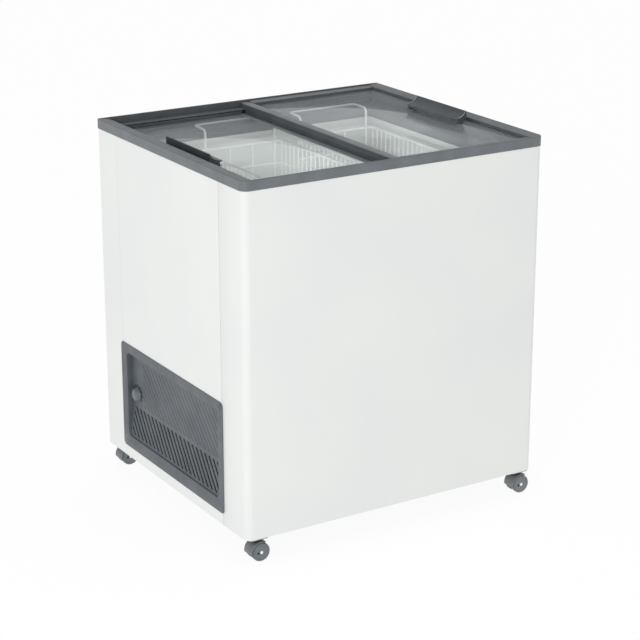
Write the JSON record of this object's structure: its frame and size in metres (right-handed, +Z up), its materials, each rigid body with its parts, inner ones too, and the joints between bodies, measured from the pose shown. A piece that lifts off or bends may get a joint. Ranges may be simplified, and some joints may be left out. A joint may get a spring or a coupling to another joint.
{
  "type": "chest freezer",
  "caption": "Compact display chest freezer: white cabinet on casters, grey rim with two-level sliding flat glass lids, hanging wire baskets, and an end grille with a thermostat knob.",
  "frame": {"origin": "on the floor under the middle of the cabinet", "axes": "+X along the cabinet towards the end where the upper lid closes, -Y the front, +Z up"},
  "size_m": [0.68, 0.6, 0.774],
  "materials": {
    "white_steel": "gloss white enamel",
    "galvanised": "galvanised",
    "foam": "rigid polyurethane foam",
    "liner": "cream coated liner",
    "grey_plastic": "fine satin grain",
    "dark_plastic": "fine grain",
    "lid_glass": "tempered clear",
    "white_wire": "white plastic-coated wire",
    "black_steel": "black enamel",
    "copper": "bright copper",
    "aluminium_tube": "drawn",
    "bright_steel": "ground",
    "black_rubber": "moulded",
    "caster_plastic": "moulded"
  },
  "bodies": {
    "cabinet": {"front_panel": "white_steel", "rear_panel": "white_steel", "left_end_panel": "white_steel", "right_end_panel": "white_steel", "base_plate": "galvanised", "insulation": "foam", "inner_liner": "liner", "evaporator_tube": "aluminium_tube", "rim_frame": "grey_plastic", "front_lid_track": "grey_plastic", "rear_lid_track": "grey_plastic", "inner_collar": "grey_plastic", "grille_panel": "dark_plastic", "thermostat": "dark_plastic", "machine_tray": "galvanised", "compressor": "black_steel", "relay_cover": "dark_plastic", "condenser_coil": "black_steel", "filter_drier": "copper", "discharge_pipe": "copper", "suction_pipe": "copper", "cable_gland": "black_rubber", "front_left_caster_plate": "galvanised", "front_right_caster_plate": "galvanised", "rear_left_caster_plate": "galvanised", "rear_right_caster_plate": "galvanised"},
    "left_lid": {"left_lid_glass": "lid_glass", "left_lid_front_runner": "grey_plastic", "left_lid_rear_runner": "grey_plastic", "left_lid_end_rail": "grey_plastic", "left_lid_handle": "dark_plastic"},
    "right_lid": {"right_lid_glass": "lid_glass", "right_lid_front_runner": "grey_plastic", "right_lid_rear_runner": "grey_plastic", "right_lid_end_rail": "grey_plastic", "right_lid_wiper_seal": "black_rubber", "right_lid_handle": "dark_plastic"},
    "left_basket": {"left_basket": "white_wire"},
    "right_basket": {"right_basket": "white_wire"},
    "thermostat_knob": {"thermostat_knob": "grey_plastic", "thermostat_spindle": "bright_steel"},
    "front_left_caster_swivel": {"front_left_caster_hood": "caster_plastic"},
    "front_left_caster_wheels": {"front_left_caster_axle": "bright_steel", "front_left_caster_front_wheel": "caster_plastic", "front_left_caster_rear_wheel": "caster_plastic"},
    "front_right_caster_swivel": {"front_right_caster_hood": "caster_plastic"},
    "front_right_caster_wheels": {"front_right_caster_axle": "bright_steel", "front_right_caster_front_wheel": "caster_plastic", "front_right_caster_rear_wheel": "caster_plastic"},
    "rear_left_caster_swivel": {"rear_left_caster_hood": "caster_plastic"},
    "rear_left_caster_wheels": {"rear_left_caster_axle": "bright_steel", "rear_left_caster_front_wheel": "caster_plastic", "rear_left_caster_rear_wheel": "caster_plastic"},
    "rear_right_caster_swivel": {"rear_right_caster_hood": "caster_plastic"},
    "rear_right_caster_wheels": {"rear_right_caster_axle": "bright_steel", "rear_right_caster_front_wheel": "caster_plastic", "rear_right_caster_rear_wheel": "caster_plastic"}
  },
  "joints": [
    {"name": "left_lid_slide", "type": "slide", "parent": "cabinet", "child": "left_lid", "axis": [1, 0, 0], "range_m": [0, 0.257]},
    {"name": "right_lid_slide", "type": "slide", "parent": "cabinet", "child": "right_lid", "axis": [1, 0, 0], "range_m": [-0.257, 0]},
    {"name": "left_basket_slide", "type": "slide", "parent": "cabinet", "child": "left_basket", "axis": [1, 0, 0], "range_m": [-0.118, 0.027]},
    {"name": "right_basket_slide", "type": "slide", "parent": "cabinet", "child": "right_basket", "axis": [1, 0, 0], "range_m": [-0.027, 0]},
    {"name": "thermostat_knob_turn", "type": "hinge", "parent": "cabinet", "child": "thermostat_knob", "pos_m": [-0.3278, 0.174, 0.196], "axis": [-1, 0, 0], "range_deg": [0, 270]},
    {"name": "front_left_caster_swivel_turn", "type": "hinge", "parent": "cabinet", "child": "front_left_caster_swivel", "pos_m": [-0.311, -0.28, 0.04], "axis": [0, 0, 1], "continuous": true},
    {"name": "front_left_caster_wheel_roll", "type": "hinge", "parent": "front_left_caster_swivel", "child": "front_left_caster_wheels", "pos_m": [-0.305, -0.28, 0.019], "axis": [0, 1, 0], "continuous": true},
    {"name": "front_right_caster_swivel_turn", "type": "hinge", "parent": "cabinet", "child": "front_right_caster_swivel", "pos_m": [0.311, -0.28, 0.04], "axis": [0, 0, 1], "continuous": true},
    {"name": "front_right_caster_wheel_roll", "type": "hinge", "parent": "front_right_caster_swivel", "child": "front_right_caster_wheels", "pos_m": [0.317, -0.28, 0.019], "axis": [0, 1, 0], "continuous": true},
    {"name": "rear_left_caster_swivel_turn", "type": "hinge", "parent": "cabinet", "child": "rear_left_caster_swivel", "pos_m": [-0.311, 0.28, 0.04], "axis": [0, 0, 1], "continuous": true},
    {"name": "rear_left_caster_wheel_roll", "type": "hinge", "parent": "rear_left_caster_swivel", "child": "rear_left_caster_wheels", "pos_m": [-0.305, 0.28, 0.019], "axis": [0, 1, 0], "continuous": true},
    {"name": "rear_right_caster_swivel_turn", "type": "hinge", "parent": "cabinet", "child": "rear_right_caster_swivel", "pos_m": [0.311, 0.28, 0.04], "axis": [0, 0, 1], "continuous": true},
    {"name": "rear_right_caster_wheel_roll", "type": "hinge", "parent": "rear_right_caster_swivel", "child": "rear_right_caster_wheels", "pos_m": [0.317, 0.28, 0.019], "axis": [0, 1, 0], "continuous": true}
  ]
}
